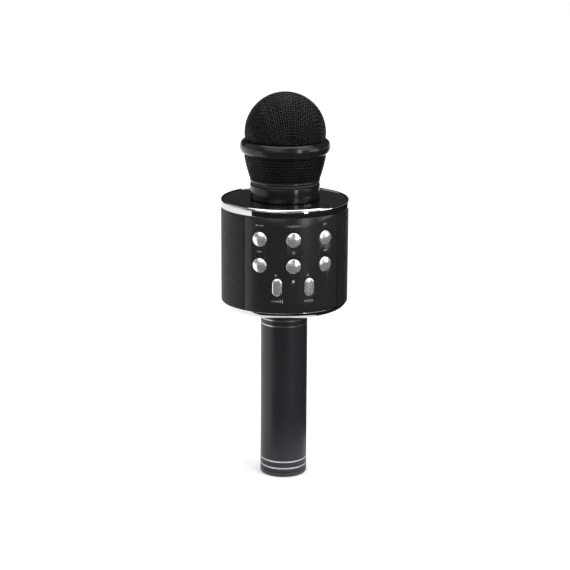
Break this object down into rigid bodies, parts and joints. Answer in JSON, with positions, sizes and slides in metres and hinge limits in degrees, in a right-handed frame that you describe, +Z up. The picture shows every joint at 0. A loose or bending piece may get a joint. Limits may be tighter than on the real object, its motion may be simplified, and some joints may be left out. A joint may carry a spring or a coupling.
{
  "type": "karaoke microphone",
  "caption": "Handheld karaoke microphone: wire grille head on a speaker drum with a curved button panel, above a slim tube handle.",
  "frame": {"origin": "on the surface that the handle's flat end stands on, on the handle's axis", "axes": "+Z up along the microphone's axis to the grille, -Y out through the middle of the control panel, +X to the right as the panel is faced"},
  "size_m": [0.08, 0.081, 0.2452],
  "materials": {
    "anodised_tube": "satin charcoal anodised tube",
    "black_plastic": "moulded black plastic",
    "chrome_trim": "bright plated trim",
    "plated_key": "satin silver plated caps",
    "speaker_steel_mesh": "black painted perforated steel",
    "satin_panel": "satin black moulded panel",
    "gloss_black": "high gloss black",
    "grille_wire": "black painted woven wire",
    "black_foam": "open-cell foam",
    "seal_rubber": "soft black rubber",
    "circuit_board": "green solder mask",
    "switch_body": "black switch housing",
    "socket_metal": "plated steel shell",
    "jack_plastic": "black jack body",
    "screw_steel": "black oxide steel",
    "battery_wrap": "shrink-wrapped steel can",
    "sleeve_plastic": "natural plastic",
    "lead_red": "insulated wire",
    "lead_grey": "insulated wire",
    "basket_steel": "pressed steel basket",
    "cone_paper": "black paper cone",
    "magnet_steel": "magnet with steel yoke",
    "lamp_plastic": "clear light pipe",
    "capsule_metal": "capsule can"
  },
  "bodies": {
    "body": {"handle_tube": "anodised_tube", "handle_end_cap": "black_plastic", "battery_cell": "battery_wrap", "battery_sleeve": "sleeve_plastic", "battery_board": "circuit_board", "battery_lead": "lead_red", "handle_core": "black_plastic", "base_plate": "black_plastic", "bottom_trim_ring": "chrome_trim", "lower_frame_ring": "black_plastic", "base_screw_1": "screw_steel", "base_screw_2": "screw_steel", "base_screw_3": "screw_steel", "base_screw_4": "screw_steel", "charge_port": "socket_metal", "aux_jack": "jack_plastic", "card_slot": "socket_metal", "usb_socket": "socket_metal", "main_board": "circuit_board", "speaker_chassis": "black_plastic", "speaker_frame_left": "basket_steel", "speaker_frame_right": "basket_steel", "speaker_cone_left": "cone_paper", "speaker_cone_right": "cone_paper", "speaker_magnet_left": "magnet_steel", "speaker_magnet_right": "magnet_steel", "speaker_mesh": "speaker_steel_mesh", "control_panel": "satin_panel", "led_light_pipe": "lamp_plastic", "key_board": "circuit_board", "switch_record": "switch_body", "switch_play": "switch_body", "switch_mode": "switch_body", "switch_previous": "switch_body", "switch_power": "switch_body", "switch_next": "switch_body", "switch_volume_up": "switch_body", "switch_volume_down": "switch_body", "switch_echo_up": "switch_body", "switch_echo_down": "switch_body", "top_plate": "gloss_black", "top_trim_ring": "chrome_trim", "neck_collar": "gloss_black", "capsule_lead": "lead_grey", "capsule_holder": "seal_rubber", "mic_capsule": "capsule_metal"},
    "button_record": {"button_record": "plated_key"},
    "button_play": {"button_play": "plated_key"},
    "button_mode": {"button_mode": "plated_key"},
    "button_previous": {"button_previous": "plated_key"},
    "button_power": {"button_power": "plated_key"},
    "button_next": {"button_next": "plated_key"},
    "volume_key": {"volume_key": "plated_key"},
    "echo_key": {"echo_key": "plated_key"},
    "seal_ring": {"neck_seal_ring": "seal_rubber"},
    "grille_head": {"thread_ring": "black_plastic", "lower_grille": "grille_wire", "waist_ring": "gloss_black", "upper_grille": "grille_wire", "foam_liner": "black_foam"}
  },
  "joints": [
    {"name": "button_record_press", "type": "slide", "parent": "body", "child": "button_record", "axis": [0.512, 0.859, 0], "range_m": [0, 0.0006], "stiffness_N_per_m": 800, "springref_m": -0.0005},
    {"name": "button_play_press", "type": "slide", "parent": "body", "child": "button_play", "axis": [0, 1, 0], "range_m": [0, 0.0006], "stiffness_N_per_m": 800, "springref_m": -0.0005},
    {"name": "button_mode_press", "type": "slide", "parent": "body", "child": "button_mode", "axis": [-0.512, 0.859, 0], "range_m": [0, 0.0006], "stiffness_N_per_m": 800, "springref_m": -0.0005},
    {"name": "button_previous_press", "type": "slide", "parent": "body", "child": "button_previous", "axis": [0.512, 0.859, 0], "range_m": [0, 0.0006], "stiffness_N_per_m": 800, "springref_m": -0.0005},
    {"name": "button_power_press", "type": "slide", "parent": "body", "child": "button_power", "axis": [0, 1, 0], "range_m": [0, 0.0006], "stiffness_N_per_m": 800, "springref_m": -0.0005},
    {"name": "button_next_press", "type": "slide", "parent": "body", "child": "button_next", "axis": [-0.512, 0.859, 0], "range_m": [0, 0.0006], "stiffness_N_per_m": 800, "springref_m": -0.0005},
    {"name": "volume_key_rock", "type": "hinge", "parent": "body", "child": "volume_key", "pos_m": [-0.00934, -0.03534, 0.1315], "axis": [0.9668, -0.2554, 0], "range_deg": [-4, 4], "stiffness_Nm_per_rad": 0.05},
    {"name": "echo_key_rock", "type": "hinge", "parent": "body", "child": "echo_key", "pos_m": [0.00934, -0.03534, 0.1315], "axis": [0.9668, 0.2554, 0], "range_deg": [-4, 4], "stiffness_Nm_per_rad": 0.05},
    {"name": "grille_turn", "type": "hinge", "parent": "body", "child": "seal_ring", "pos_m": [0, 0, 0.1885], "axis": [0, 0, 1], "range_deg": [0, 1440]},
    {"name": "grille_lift", "type": "slide", "parent": "seal_ring", "child": "grille_head", "axis": [0, 0, 1], "range_m": [0, 0.00605]}
  ],
  "couplings": [
    {"joint": "grille_lift", "follows": "grille_turn", "m_per_rad": 0.00023873}
  ]
}
